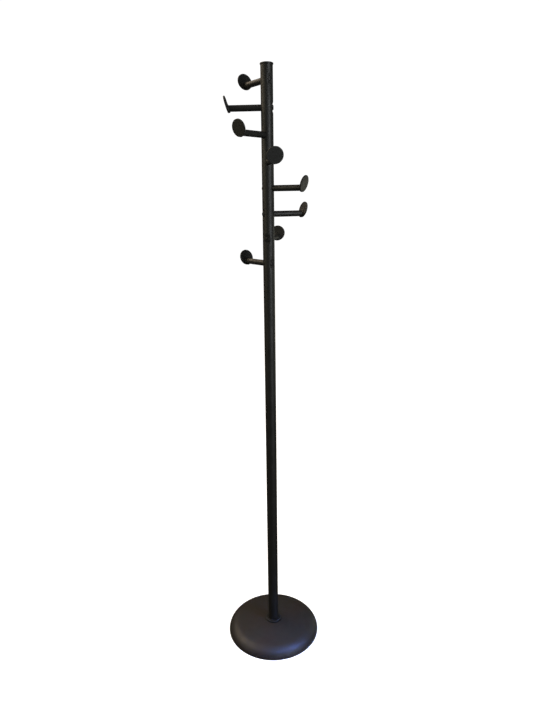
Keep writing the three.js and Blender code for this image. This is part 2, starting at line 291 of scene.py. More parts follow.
def grain(tree, size_mm, detail=2.0, stretch=(1, 1, 1)):
    """A noise with features of about this size, as a node."""
    place = tree.nodes.new("ShaderNodeTexCoord")
    mapping = tree.nodes.new("ShaderNodeMapping")
    mapping.inputs["Scale"].default_value = stretch
    noise = tree.nodes.new("ShaderNodeTexNoise")
    noise.inputs["Scale"].default_value = 1 / (size_mm * MM)
    noise.inputs["Detail"].default_value = detail
    tree.links.new(place.outputs["Object"], mapping.inputs["Vector"])
    tree.links.new(mapping.outputs["Vector"], noise.inputs["Vector"])
    return noise


def ramp(tree, source, low, high, start=0.0, end=1.0):
    """Spreads a source, from start where it is low to end where it is high."""
    spread = tree.nodes.new("ShaderNodeMapRange")
    spread.inputs["From Min"].default_value = low
    spread.inputs["From Max"].default_value = high
    spread.inputs["To Min"].default_value = start
    spread.inputs["To Max"].default_value = end
    tree.links.new(source, spread.inputs["Value"])
    return spread.outputs["Result"]


def mix_colour(tree, factor, dark, light):
    """Blends two linear colours by a factor."""
    mix = tree.nodes.new("ShaderNodeMix")
    mix.data_type = "RGBA"
    mix.inputs["A"].default_value = (*dark, 1)
    mix.inputs["B"].default_value = (*light, 1)
    tree.links.new(factor, mix.inputs["Factor"])
    return mix.outputs["Result"]


def rough_up(tree, shader, layers):
    """Stacks bumps on the shader: each layer is a noise node, a height in millimetres, a strength."""
    below = None
    for noise, height_mm, strength in layers:
        bump = tree.nodes.new("ShaderNodeBump")
        bump.inputs["Distance"].default_value = height_mm * MM
        bump.inputs["Strength"].default_value = strength
        tree.links.new(noise.outputs["Fac"], bump.inputs["Height"])
        if below:
            tree.links.new(below.outputs["Normal"], bump.inputs["Normal"])
        below = bump
    tree.links.new(below.outputs["Normal"], shader.inputs["Normal"])


# %% [markdown]
# Powder coat is a plastic powder that is sprayed on dry and baked until it flows. It never flows
# quite flat, and leaves a fine orange peel. Handling makes some patches a little duller than others,
# and cloth polishes the places where it rubs. Noises carry the peel and the patches. The rubbed
# places come from an attribute named rub, which each piece's mesh carries where it needs it.


# %% Powder coats
PATCH_SIZE = 55  # millimetres, as are the other two
SMUDGE_SIZE = 23
RUB_GRAIN = 5
RUB_POLISH = -0.12
COAT_SPECULAR = 0.42


def rubbed_places(tree):
    """Where the rub attribute and a broken-up noise agree, from 0 to 1."""
    rub = tree.nodes.new("ShaderNodeAttribute")
    rub.attribute_name = "rub"
    worn = tree.nodes.new("ShaderNodeMath")
    worn.operation = "MULTIPLY"
    tree.links.new(rub.outputs["Fac"], worn.inputs[0])
    tree.links.new(ramp(tree, grain(tree, RUB_GRAIN, detail=5).outputs["Fac"], 0.38, 0.62), worn.inputs[1])
    return worn.outputs["Value"]


def powder_coat(name, dark, light, worn_colour, gloss, dull, peel_mm, peel_height_mm):
    """Satin coat: close colours, a roughness that wanders from gloss to dull, wear, and the peel."""
    material, tree, shader = new_finish(name)
    patches = ramp(tree, grain(tree, PATCH_SIZE, detail=3).outputs["Fac"], 0.35, 0.65)
    coat = mix_colour(tree, patches, dark, light)
    worn = rubbed_places(tree)
    blend = tree.nodes.new("ShaderNodeMix")
    blend.data_type = "RGBA"
    blend.inputs["B"].default_value = (*worn_colour, 1)
    tree.links.new(coat, blend.inputs["A"])
    tree.links.new(worn, blend.inputs["Factor"])
    tree.links.new(blend.outputs["Result"], shader.inputs["Base Color"])
    smudges = ramp(tree, grain(tree, SMUDGE_SIZE, detail=4).outputs["Fac"], 0.3, 0.7, gloss, dull)
    polish = tree.nodes.new("ShaderNodeMath")
    polish.operation = "MULTIPLY_ADD"
    polish.inputs[1].default_value = RUB_POLISH
    tree.links.new(worn, polish.inputs[0])
    tree.links.new(smudges, polish.inputs[2])
    tree.links.new(polish.outputs["Value"], shader.inputs["Roughness"])
    shader.inputs["Specular IOR Level"].default_value = COAT_SPECULAR
    peel = grain(tree, peel_mm, detail=1.5)
    specks = grain(tree, peel_mm * 0.28, detail=1)
    rough_up(tree, shader, [(peel, peel_height_mm, 0.6), (specks, peel_height_mm * 0.3, 0.5)])
    return material


black_coat = powder_coat(
    "satin_black_powder_coat",
    dark=(0.0078, 0.0076, 0.0062),
    light=(0.0112, 0.0108, 0.0092),
    worn_colour=(0.030, 0.027, 0.022),
    gloss=0.44,
    dull=0.58,
    peel_mm=1.6,
    peel_height_mm=0.014,
)
brown_coat = powder_coat(
    "satin_brown_black_powder_coat",
    dark=(0.0225, 0.0145, 0.0095),
    light=(0.0190, 0.0165, 0.0118),
    worn_colour=(0.055, 0.046, 0.038),
    gloss=0.44,
    dull=0.58,
    peel_mm=2.2,
    peel_height_mm=0.03,
)
print("coats:", black_coat.name, brown_coat.name)

# %% [markdown]
# The cap is moulded plastic with a fine spark-eroded grain, the pads are matt rubber with a little
# dust, and the screws are blackened steel, smoother than the coat round them.


# %% Plastic, rubber and blackened steel
def moulded_plastic():
    material, tree, shader = new_finish("satin_black_plastic")
    tint = ramp(tree, grain(tree, 12, detail=3).outputs["Fac"], 0.3, 0.7)
    colour = mix_colour(tree, tint, (0.0085, 0.0085, 0.0088), (0.0125, 0.0125, 0.0128))
    tree.links.new(colour, shader.inputs["Base Color"])
    shader.inputs["Roughness"].default_value = 0.46
    rough_up(tree, shader, [(grain(tree, 0.35, detail=2), 0.02, 0.5)])
    return material


def matt_rubber():
    material, tree, shader = new_finish("matt_black_rubber")
    dust = ramp(tree, grain(tree, 4, detail=5).outputs["Fac"], 0.45, 0.8)
    colour = mix_colour(tree, dust, (0.010, 0.010, 0.010), (0.045, 0.043, 0.040))
    tree.links.new(colour, shader.inputs["Base Color"])
    shader.inputs["Roughness"].default_value = 0.85
    rough_up(tree, shader, [(grain(tree, 0.6, detail=3), 0.05, 0.5)])
    return material


def blackened_steel():
    material, tree, shader = new_finish("blackened_steel")
    tint = ramp(tree, grain(tree, 2.5, detail=4).outputs["Fac"], 0.35, 0.7)
    colour = mix_colour(tree, tint, (0.009, 0.009, 0.010), (0.020, 0.019, 0.018))
    tree.links.new(colour, shader.inputs["Base Color"])
    shader.inputs["Metallic"].default_value = 0.3
    shader.inputs["Roughness"].default_value = 0.42
    rough_up(tree, shader, [(grain(tree, 0.5, detail=2), 0.008, 0.5)])
    return material


plastic = moulded_plastic()
rubber = matt_rubber()
screw_steel = blackened_steel()
print("small finishes:", plastic.name, rubber.name, screw_steel.name)

# %% [markdown]
# Zinc plate on the hidden hardware is a soft grey metal with faint drag marks, and the weight is
# cast iron straight from a sand mould: dark, dull and pitted.


# %% Zinc plate and cast iron
def zinc_plate():
    material, tree, shader = new_finish("bright_zinc_plate")
    cloud = ramp(tree, grain(tree, 9, detail=5).outputs["Fac"], 0.3, 0.7)
    colour = mix_colour(tree, cloud, (0.36, 0.37, 0.39), (0.52, 0.53, 0.55))
    tree.links.new(colour, shader.inputs["Base Color"])
    shader.inputs["Metallic"].default_value = 1.0
    marks = grain(tree, 1.2, detail=3, stretch=(1, 14, 1))
    tree.links.new(ramp(tree, marks.outputs["Fac"], 0.3, 0.7, 0.28, 0.46), shader.inputs["Roughness"])
    rough_up(tree, shader, [(marks, 0.01, 0.4)])
    return material


def sand_cast_iron():
    material, tree, shader = new_finish("sand_cast_iron")
    tint = ramp(tree, grain(tree, 7, detail=6).outputs["Fac"], 0.35, 0.7)
    colour = mix_colour(tree, tint, (0.035, 0.033, 0.031), (0.075, 0.068, 0.062))
    tree.links.new(colour, shader.inputs["Base Color"])
    shader.inputs["Metallic"].default_value = 0.5
    shader.inputs["Roughness"].default_value = 0.75
    rough_up(tree, shader, [(grain(tree, 1.8, detail=4), 0.25, 0.7)])
    return material


zinc = zinc_plate()
iron = sand_cast_iron()
print("hidden finishes:", zinc.name, iron.name)

# %% [markdown]
# ## What the frame says
#
# The post's radius, the tube ends and each peg's height come from the CAD boxes. A disc is the same
# on both sides of its middle, so the middle of its box lies in its peg's direction.


# %% Read the places
PEGS = range(1, 9)
post_low, post_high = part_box("post_tube_middle")
rod_low, rod_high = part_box("peg_1_rod")
POST_RADIUS = (post_high[0] - post_low[0]) / 2
ROD_RADIUS = (rod_high[2] - rod_low[2]) / 2
TUBES = {}
for part in ("lower", "middle", "upper"):
    tube_low, tube_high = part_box(f"post_tube_{part}")
    TUBES[part] = (tube_low[2], tube_high[2])


def peg_height(number):
    low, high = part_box(f"peg_{number}_rod")
    return (low[2] + high[2]) / 2


def peg_turn(number):
    """The peg's direction, as a turn about the post's axis from +X."""
    low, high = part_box(f"peg_{number}_disc")
    return math.atan2(low[1] + high[1], low[0] + high[0])


PEG_PITCH = peg_height(1) - peg_height(2)
print("post radius:", round(POST_RADIUS / MM, 2), "mm, rod radius:", round(ROD_RADIUS / MM, 2), "mm")
print("peg pitch:", round(PEG_PITCH / MM, 1), "mm, first turn:", round(math.degrees(peg_turn(1)), 1))

# %% [markdown]
# ## Post tubes
#
# The post is three lengths of round tube. Behind each peg the wall is pressed in to a flat seat for
# the screw's head. The tube could be cut with a Boolean there, but a press moves the wall and takes
# nothing away, so the points behind the peg are pushed in flat instead. One peg's length of tube is
# made so, then copied down the post: each copy is turned by thirteen of its ninety sides, which is
# the spiral's step, and all their points meet.

# %% One peg's length of tube
TUBE_SIDES = 90
TUBE_WALL = 1.2 * MM
DIMPLE_DEPTH = 2.0 * MM
DIMPLE_SEAT = 7.5 * MM
DIMPLE_MOUTH = 14.5 * MM
RING_STEP = 1.25 * MM
RINGS = 14


def wall_reach(height):
    """How far from the axis the pressed wall stands, at a height above the peg's axis."""
    return POST_RADIUS - DIMPLE_DEPTH * (1 - fade(abs(height), DIMPLE_SEAT, DIMPLE_MOUTH))


def open_tube(name, height):
    bpy.ops.mesh.primitive_cylinder_add(
        vertices=TUBE_SIDES, radius=POST_RADIUS, depth=height, end_fill_type="NOTHING"
    )
    return named(name)


def pressed_length():
    """An open length of tube, one pitch tall, with the dimple on its -X side."""
    piece = open_tube("pressed_length", PEG_PITCH)
    with editing(piece):
        for ring in range(-RINGS + 1, RINGS):
            bpy.ops.mesh.select_all(action="SELECT")
            bpy.ops.mesh.bisect(plane_co=(0, 0, ring * RING_STEP), plane_no=(0, 0, 1))
        for ring in range(-RINGS + 1, RINGS):
            level = ring * RING_STEP
            reach = wall_reach(level)
            near = lambda at: abs(at.z - level) < TOUCH and at.x < -reach - 1e-7
            if pick(piece, "VERT", near):
                bpy.ops.transform.resize(value=(0, 1, 1), center_override=(-reach, 0, level))
        soften = lambda at: abs(at.z) < DIMPLE_MOUTH and at.x < -0.6 * POST_RADIUS
        pick(piece, "VERT", soften)
        bpy.ops.mesh.vertices_smooth(factor=0.5, repeat=2)
    return piece


pressed = pressed_length()
print("one pressed length has", len(pressed.data.polygons), "faces")

# %% [markdown]
# The pressed lengths and two plain ends are joined, and the points where they meet are merged. Then
# Solidify gives the sheet its wall, inwards, and a Boolean with sixteen drills makes the holes: one
# for each rod in front, and one for each screw behind.


# %% The upper tube
def drill(radius, reach):
    """A bar along X from the post's axis, towards the peg if reach is positive."""
    bpy.ops.mesh.primitive_cylinder_add(
        vertices=64,
        radius=radius,
        depth=abs(reach),
        location=(reach / 2, 0, 0),
        rotation=(0, math.pi / 2, 0),
    )
    piece = named("drill")
    settle(piece)
    return piece


def copies_for_pegs(piece, name):
    return [copy_at(piece, f"{name}_{n}", peg_turn(n), (0, 0, peg_height(n))) for n in PEGS]


def plain_end(name, bottom, top):
    piece = open_tube(name, top - bottom)
    piece.rotation_euler.z = peg_turn(1)
    piece.location.z = (bottom + top) / 2
    settle(piece)
    return piece


DRILL_GAP = 0.3 * MM
SCREW_RADIUS = 3.0 * MM
bottom, top = TUBES["upper"]
lengths = copies_for_pegs(pressed, "length")
lengths.append(plain_end("upper_end", peg_height(1) + PEG_PITCH / 2, top))
lengths.append(plain_end("lower_end", bottom, peg_height(8) - PEG_PITCH / 2))
upper_tube = joined(lengths, "post_upper")
modify(upper_tube, "SOLIDIFY", thickness=TUBE_WALL, offset=-1, use_even_offset=True)
rod_drill = drill(ROD_RADIUS + DRILL_GAP, POST_RADIUS * 1.2)
screw_drill = drill(SCREW_RADIUS + DRILL_GAP, -POST_RADIUS * 1.2)
rod_holes = copies_for_pegs(rod_drill, "rod_hole")
screw_holes = copies_for_pegs(screw_drill, "screw_hole")
drills = joined(rod_holes + screw_holes, "drills")
modify(upper_tube, "BOOLEAN", operation="DIFFERENCE", solver="EXACT", object=drills)
discard(pressed, rod_drill, screw_drill, drills)
finish_piece(upper_tube, ["post_tube_upper"], black_coat)
print("upper tube has", len(upper_tube.data.polygons), "faces")

# %% [markdown]
# The two plain tubes only need their wall and slightly rounded ends, where a hairline shows between
# one tube and the next. The ends are rounded by a small bevel on the outer edge loop. A ring of
# edges close to each end keeps the bevel's soft shading from running along the whole tube.


# %% The plain tubes
def plain_tube(part):
    bottom, top = TUBES[part]
    piece = plain_end(f"post_{part}", bottom, top)
    modify(piece, "SOLIDIFY", thickness=TUBE_WALL, offset=-1, use_even_offset=True)
    at_end = lambda at: min(abs(at.z - bottom), abs(at.z - top)) < TOUCH
    outer = lambda at: math.hypot(at.x, at.y) > POST_RADIUS - 0.2 * MM
    with editing(piece):
        for level in (bottom + 1 * MM, top - 1 * MM):
            bpy.ops.mesh.select_all(action="SELECT")
            bpy.ops.mesh.bisect(plane_co=(0, 0, level), plane_no=(0, 0, 1))
        pick(piece, "EDGE", lambda at: at_end(at) and outer(at))
        bpy.ops.mesh.bevel(offset=0.3 * MM, segments=2, affect="EDGES")
    finish_piece(piece, [f"post_tube_{part}"], black_coat)
    return piece


for part in ("lower", "middle"):
    print(plain_tube(part).name, "stands from", round(TUBES[part][0], 4), "to", round(TUBES[part][1], 4))

# %% [markdown]
# ## Top cap
#
# A moulded cap closes the tube. Its brim hangs over the tube's edge, its crown is a shallow dome,
# and a hollow skirt grips the bore. It is one spun section, from the crown's middle round to the
# middle of its underside.

# %% The cap
CAP_EDGE = 0.7 * MM
CAP_CROWN = 2.5 * MM
CAP_WALL = 1.8 * MM
CAP_SKIRT_RADIUS = POST_RADIUS - TUBE_WALL - 0.3 * MM


def top_cap():
    low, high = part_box("top_cap")
    brim = (high[0] - low[0]) / 2
    underside = TUBES["upper"][1] + 0.3 * MM
    section = arc((0, high[2] - CAP_CROWN), (brim - CAP_EDGE * 0.5, CAP_CROWN), 90, 12, 12)
    section += arc((brim - CAP_EDGE, high[2] - CAP_CROWN - CAP_EDGE * 0.6), (CAP_EDGE, CAP_EDGE), 40, 0, 3)
    section += arc((brim - CAP_EDGE, underside + CAP_EDGE), (CAP_EDGE, CAP_EDGE), 0, -90, 4)
    section += [(CAP_SKIRT_RADIUS, underside), (CAP_SKIRT_RADIUS, low[2] + CAP_EDGE)]
    section += [(CAP_SKIRT_RADIUS - CAP_EDGE, low[2]), (CAP_SKIRT_RADIUS - CAP_WALL, low[2])]
    section += [(CAP_SKIRT_RADIUS - CAP_WALL, underside), (0, underside)]
    piece = spun("cap", section, 72)
    finish_piece(piece, ["top_cap"], plastic)


top_cap()

# %% [markdown]
# ## Pegs
#
# One peg is made along +X at height zero and copied eight times. Its rod starts as a cylinder that
# runs past the disc, and a bisect cuts it off on the disc's slant. The tail behind the post's axis is
# chamfered, and an inset face pushed inwards makes the tapped hole for the screw.

# %% Peg sizes
DISC_TILT = math.radians(16)
PEG_REACH = 100 * MM
DISC_RADIUS = 21.5 * MM
DISC_THICKNESS = 4 * MM
DISC_RISE = 11 * MM
CONTACT_GAP = 0.3 * MM
ROD_TAIL = -(POST_RADIUS - DIMPLE_DEPTH - TUBE_WALL - CONTACT_GAP)
disc_out = Vector((math.cos(DISC_TILT), 0, -math.sin(DISC_TILT)))
disc_up = Vector((math.sin(DISC_TILT), 0, math.cos(DISC_TILT)))
disc_foot = Vector((PEG_REACH, 0, 0))
ROD_RINGS = 8
TAP_DEPTH = 16 * MM
TAIL_CHAMFER = 1 * MM
print("disc's outward direction:", [round(v, 3) for v in disc_out])


# %% The rod
def make_rod():
    length = PEG_REACH + DISC_RADIUS - ROD_TAIL
    bpy.ops.mesh.primitive_cylinder_add(
        vertices=48,
        radius=ROD_RADIUS,
        depth=length,
        location=(ROD_TAIL + length / 2, 0, 0),
        rotation=(0, math.pi / 2, 0),
    )
    rod = named("rod")
    settle(rod)
    with editing(rod):
        bpy.ops.mesh.select_all(action="SELECT")
        cut = disc_foot - disc_out * CONTACT_GAP
        bpy.ops.mesh.bisect(plane_co=cut, plane_no=disc_out, use_fill=True, clear_outer=True)
        for ring in range(ROD_RINGS):
            station = POST_RADIUS + (PEG_REACH - 2 * POST_RADIUS) * ring / (ROD_RINGS - 1)
            bpy.ops.mesh.select_all(action="SELECT")
            bpy.ops.mesh.bisect(plane_co=(station, 0, 0), plane_no=(1, 0, 0))
        pick(rod, "FACE", lambda at: abs(at.x - ROD_TAIL) < TOUCH)
        bpy.ops.mesh.inset(thickness=ROD_RADIUS - SCREW_RADIUS - DRILL_GAP)
        bpy.ops.mesh.extrude_region_move(TRANSFORM_OT_translate={"value": (TAP_DEPTH, 0, 0)})
        rim = lambda at: abs(at.x - ROD_TAIL) < TOUCH and at.length > abs(ROD_TAIL) + 1.5 * MM
        pick(rod, "EDGE", rim)
        bpy.ops.mesh.bevel(offset=TAIL_CHAMFER, segments=2, affect="EDGES")
    rubbed(rod, lambda at: fade(at.x, 0.5 * PEG_REACH, 0.85 * PEG_REACH) * fade(at.z, 0, 0.8 * ROD_RADIUS))
    return rod


rod = make_rod()
print("rod has", len(rod.data.polygons), "faces and runs from", round(ROD_TAIL / MM, 1), "mm")

# %% [markdown]
# The disc is punched from plate, and its edges are rolled over by tumbling before it is welded. A
# cylinder with its rim bevelled gives that. It is made flat at the origin, then tilted and moved to
# the end of the rod, a little above the rod's axis.


# %% The disc
def make_disc():
    bpy.ops.mesh.primitive_cylinder_add(vertices=96, radius=DISC_RADIUS, depth=DISC_THICKNESS)
    disc = named("disc")
    with editing(disc):
        rim = lambda at: math.hypot(at.x, at.y) > DISC_RADIUS * 0.98 and abs(at.z) > DISC_THICKNESS * 0.4
        pick(disc, "EDGE", rim)
        bpy.ops.mesh.bevel(offset=1.1 * MM, segments=4, affect="EDGES")
        for side in (-1, 1):
            pick(disc, "FACE", lambda at: at.z * side > DISC_THICKNESS * 0.49)
            bpy.ops.mesh.inset(thickness=0.5 * MM)
    rubbed(disc, lambda at: 0.8 * fade(math.hypot(at.x, at.y), 0.96 * DISC_RADIUS, DISC_RADIUS))
    disc.rotation_euler.y = math.pi / 2 + DISC_TILT
    disc.location = disc_foot + disc_up * DISC_RISE + disc_out * (DISC_THICKNESS / 2)
    settle(disc)
    return disc


disc = make_disc()
print("disc has", len(disc.data.polygons), "faces")

# %% [markdown]
# A small fillet of weld runs round the rod where it meets the disc, under the same coat. It is a
# torus laid in the disc's plane, stretched to the slanted cut, with a shallow ripple all round from
# the weld pool. The ripple is a push on every other ring of points.


# %% The weld
BEAD_RADIUS = 2.2 * MM
BEAD_STANDOFF = 0.7 * MM
RIPPLE = math.radians(15)


def make_weld():
    bpy.ops.mesh.primitive_torus_add(
        major_segments=72,
        minor_segments=12,
        major_radius=ROD_RADIUS + BEAD_STANDOFF,
        minor_radius=BEAD_RADIUS,
    )
    weld = named("weld")
    with editing(weld):
        on_crest = lambda at: (math.atan2(at.y, at.x) % RIPPLE) < RIPPLE / 3
        pick(weld, "VERT", on_crest)
        bpy.ops.transform.resize(value=(1.012, 1.012, 1.08), center_override=(0, 0, 0))
        bpy.ops.mesh.select_all(action="SELECT")
        bpy.ops.mesh.vertices_smooth(factor=0.3, repeat=1)
        bpy.ops.transform.resize(value=(1 / math.cos(DISC_TILT), 1, 1), center_override=(0, 0, 0))
    weld.rotation_euler.y = math.pi / 2 + DISC_TILT
    weld.location = disc_foot - disc_out * CONTACT_GAP
    settle(weld)
    return weld


weld = make_weld()
print("weld has", len(weld.data.polygons), "faces")

# %% [markdown]
# The screw behind each peg has a low round head with a six-sided socket. The head is a short
# cylinder whose crown edge is bevelled wide, the shank is drawn out of its underside, and the socket
# is cut by a Boolean with a six-sided bar.

# %% The screw
HEAD_RADIUS = 6.25 * MM
HEAD_HEIGHT = 2.2 * MM
SHANK_LENGTH = 14 * MM
SOCKET_RADIUS = 2.3 * MM
SOCKET_DEPTH = 1.4 * MM


def make_screw():
    """Head up along +Z at first, its seat at height zero."""
    bpy.ops.mesh.primitive_cylinder_add(
        vertices=48, radius=HEAD_RADIUS, depth=HEAD_HEIGHT, location=(0, 0, HEAD_HEIGHT / 2)
    )
    screw = named("screw")
    settle(screw)
    with editing(screw):
        pick(screw, "FACE", lambda at: at.z < TOUCH)
        bpy.ops.mesh.inset(thickness=HEAD_RADIUS - SCREW_RADIUS)
        bpy.ops.mesh.extrude_region_move(TRANSFORM_OT_translate={"value": (0, 0, -SHANK_LENGTH)})
        pick(screw, "EDGE", lambda at: at.z > HEAD_HEIGHT - TOUCH)
        bpy.ops.mesh.bevel(offset=1.5 * MM, segments=5, affect="EDGES")
    bpy.ops.mesh.primitive_cylinder_add(
        vertices=6, radius=SOCKET_RADIUS, depth=2 * SOCKET_DEPTH, location=(0, 0, HEAD_HEIGHT)
    )
    socket = named("socket")
    modify(screw, "BOOLEAN", operation="DIFFERENCE", solver="EXACT", object=socket)
    discard(socket)
    screw.rotation_euler.y = -math.pi / 2
    screw.location.x = -(POST_RADIUS - DIMPLE_DEPTH + CONTACT_GAP)
    settle(screw)
    return screw


screw = make_screw()
print("screw has", len(screw.data.polygons), "faces")

# %% [markdown]
# The four pieces of a peg are copied to each peg's height and turned to its direction. The weld is
# a piece of its own here, with no CAD node behind it, so it replaces none.

# %% Copy the pegs down the post
PEG_PIECES = (
    (rod, "rod", black_coat, "black_powder_coat", 35),
    (disc, "disc", black_coat, "black_powder_coat", 35),
    (weld, "weld", black_coat, "black_powder_coat", 60),
    (screw, "screw", screw_steel, "black_screw", 35),
)
for number in PEGS:
    for model, name, finish, slot, smooth in PEG_PIECES:
        twin = copy_at(model, f"{name}_{number}", peg_turn(number), (0, 0, peg_height(number)))
        nodes = [] if model is weld else [f"peg_{number}_{name}"]
        finish_piece(twin, nodes, finish, smooth)
discard(rod, disc, weld, screw)
print("pegs placed:", len(PEGS))

# %% [markdown]
# ## Base
#
# The base is a pressed steel cover over an iron weight. Its section is a short upright rim, a round
# shoulder, then a shallow dome that carries on the shoulder's slope. It is spun as a single skin,
# and Solidify gives it the sheet's thickness inwards.

# %% The cover
COVER_WALL = 1.5 * MM
COVER_RIM = 2.5 * MM
SHOULDER = (38 * MM, 28 * MM)
SHOULDER_END = 83
BOLT_HOLE = 5.3 * MM
SEAT_RADIUS = 27 * MM


def base_cover():
    low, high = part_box("base_cover")
    radius = (high[0] - low[0]) / 2
    foot = low[2] + COVER_RIM
    shoulder = arc((radius - SHOULDER[0], foot), SHOULDER, 0, SHOULDER_END, 20)
    edge_radius, edge_height = shoulder[-1]
    slope = SHOULDER[1] / SHOULDER[0] / math.tan(math.radians(SHOULDER_END))
    section = [(radius - 0.25 * MM, low[2]), (radius, low[2] + 0.4 * MM)] + shoulder
    dome_steps = 10
    for step in range(1, dome_steps + 1):
        at = edge_radius + (SEAT_RADIUS - edge_radius) * step / dome_steps
        rise = slope * (edge_radius**2 - at**2) / (2 * edge_radius)
        section.append((at, edge_height + rise))
    section.append((BOLT_HOLE, section[-1][1]))
    piece = spun("cover", section, 144)
    modify(piece, "SOLIDIFY", thickness=COVER_WALL, offset=-1, use_even_offset=True)
    rubbed(piece, lambda at: 0.5 * fade(math.hypot(at.x, at.y), radius - 6 * MM, radius))
    finish_piece(piece, ["base_cover"], brown_coat)
    print("cover is", round(2 * radius / MM), "mm across and", round(high[2] / MM, 1), "mm high")


base_cover()

# %% [markdown]
# The collar is a low cup at the post's foot. Its outer edge is rounded, and its floor is clamped
# between the tube and the cover.

# %% The collar
COLLAR_FLOOR = 2 * MM
COLLAR_EDGE = 1.4 * MM


def collar():
    low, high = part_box("post_collar")
    outer = (high[0] - low[0]) / 2
    inner = POST_RADIUS + 0.3 * MM
    section = [(BOLT_HOLE, low[2]), (outer, low[2])]
    section += arc((outer - COLLAR_EDGE, high[2] - COLLAR_EDGE), (COLLAR_EDGE, COLLAR_EDGE), 0, 90, 5)
    section += [(inner + 0.4 * MM, high[2]), (inner, high[2] - 0.4 * MM)]
    section += [(inner, low[2] + COLLAR_FLOOR), (BOLT_HOLE, low[2] + COLLAR_FLOOR), (BOLT_HOLE, low[2])]
    piece = spun("collar", section, 96)
    finish_piece(piece, ["post_collar"], black_coat)


collar()

# %% [markdown]
# Underneath, a plated sheet closes the base. Its middle is pressed up into a cup that hides the
# bolt's head. The sheet is spun as a single skin with soft bends, and Solidify thickens it upwards.

# %% The bottom plate
CUP_RADIUS = 18 * MM
CUP_FLARE = 6 * MM
CUP_DEPTH = 8 * MM
BEND = 1.6 * MM


def bottom_plate():
    low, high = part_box("base_bottom_plate")
    edge = (high[0] - low[0]) / 2
    ceiling = low[2] + CUP_DEPTH
    section = [(BOLT_HOLE, ceiling), (CUP_RADIUS - CUP_FLARE - BEND, ceiling)]
    section += [(CUP_RADIUS - CUP_FLARE, ceiling - 0.5 * MM), (CUP_RADIUS - 0.4 * MM, low[2] + 0.6 * MM)]
    section += [(CUP_RADIUS + BEND, low[2]), (edge * 0.5, low[2]), (edge, low[2])]
    piece = spun("bottom_plate", section, 144)
    modify(piece, "SOLIDIFY", thickness=1.2 * MM, offset=1)
    finish_piece(piece, ["base_bottom_plate"], zinc)
    return piece


plate = bottom_plate()
print("plate's box:", [tuple(round(v, 4) for v in corner) for corner in plate.bound_box][::6])

# %% [markdown]
# Six rubber pads keep the plate off the floor. Each is a cylinder with rounded edges and a shallow
# round hollow moulded in its sole, which an inset face pushed up gives.


# %% The pads
def make_pad(low, high):
    radius = (high[0] - low[0]) / 2
    centre = [(a + b) / 2 for a, b in zip(low, high)]
    bpy.ops.mesh.primitive_cylinder_add(
        vertices=48, radius=radius, depth=high[2] - low[2], location=centre
    )
    pad = named("pad")
    settle(pad)
    with editing(pad):
        pick(pad, "FACE", lambda at: at.z < low[2] + TOUCH)
        bpy.ops.mesh.inset(thickness=2.5 * MM)
        bpy.ops.mesh.extrude_region_move(TRANSFORM_OT_translate={"value": (0, 0, 0.6 * MM)})
        reach = lambda at: math.hypot(at.x - centre[0], at.y - centre[1])
        pick(pad, "EDGE", lambda at: reach(at) > radius * 0.98 and abs(at.z - centre[2]) > radius * 0.1)
        bpy.ops.mesh.bevel(offset=0.5 * MM, segments=3, affect="EDGES")
    return pad


for number in range(1, 7):
    pad = make_pad(*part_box(f"foot_pad_{number}"))
    pad.name = pad.data.name = f"pad_{number}"
    finish_piece(pad, [f"foot_pad_{number}"], rubber)
print("pads placed: 6")

# %% [markdown]
# The bolt that holds the post is seen from below, deep in the cup. Its hexagon head has the usual
# turned chamfer: a cone from which only the part that it shares with the hexagon is kept.

# %% The bolt and its washer
BOLT_RADIUS = 5 * MM
HEAD_FLATS = 17 * MM
BOLT_HEAD = 6.4 * MM


def base_bolt():
    low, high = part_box("base_bolt")
    corner = HEAD_FLATS / 2 / math.cos(math.pi / 6)
    head_middle = low[2] + BOLT_HEAD / 2
    bpy.ops.mesh.primitive_cylinder_add(
        vertices=6, radius=corner, depth=BOLT_HEAD, location=(0, 0, head_middle)
    )
    bolt = named("bolt")
    settle(bolt)
    section = [(0, low[2]), (HEAD_FLATS / 2 - 0.2 * MM, low[2]), (corner + 0.1 * MM, low[2] + 1.3 * MM)]
    section += [(corner + 0.1 * MM, low[2] + 2 * BOLT_HEAD), (0, low[2] + 2 * BOLT_HEAD)]
    chamfer = spun("chamfer", section, 96)
    modify(bolt, "BOOLEAN", operation="INTERSECT", solver="EXACT", object=chamfer)
    discard(chamfer)
    seat = low[2] + BOLT_HEAD
    section = [(0, seat - 2 * MM), (BOLT_RADIUS, seat - 2 * MM), (BOLT_RADIUS, high[2] - 1 * MM)]
    section += [(BOLT_RADIUS - 1 * MM, high[2]), (0, high[2])]
    shank = spun("shank", section, 48)
    modify(bolt, "BOOLEAN", operation="UNION", solver="EXACT", object=shank)
    discard(shank)
    with editing(bolt):
        bpy.ops.mesh.select_all(action="SELECT")
        bpy.ops.mesh.remove_doubles(threshold=0.02 * MM)
        bpy.ops.mesh.dissolve_degenerate(threshold=0.02 * MM)
    finish_piece(bolt, ["base_bolt"], zinc, smooth=25)


def bolt_washer():
    low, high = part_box("base_bolt_washer")
    outer = (high[0] - low[0]) / 2
    edge = 0.4 * MM
    section = [(BOLT_HOLE, low[2]), (outer - edge, low[2]), (outer, low[2] + edge)]
    section += [(outer, high[2] - edge), (outer - edge, high[2]), (BOLT_HOLE, high[2]), (BOLT_HOLE, low[2])]
    piece = spun("washer", section, 64)
    finish_piece(piece, ["base_bolt_washer"], zinc)


base_bolt()
bolt_washer()

# %% [markdown]
# ## Hidden pieces
#
# The weight, the bushes and the studs are out of sight. Their CAD shapes are right as they are, so
# they stay, and only take their finishes.

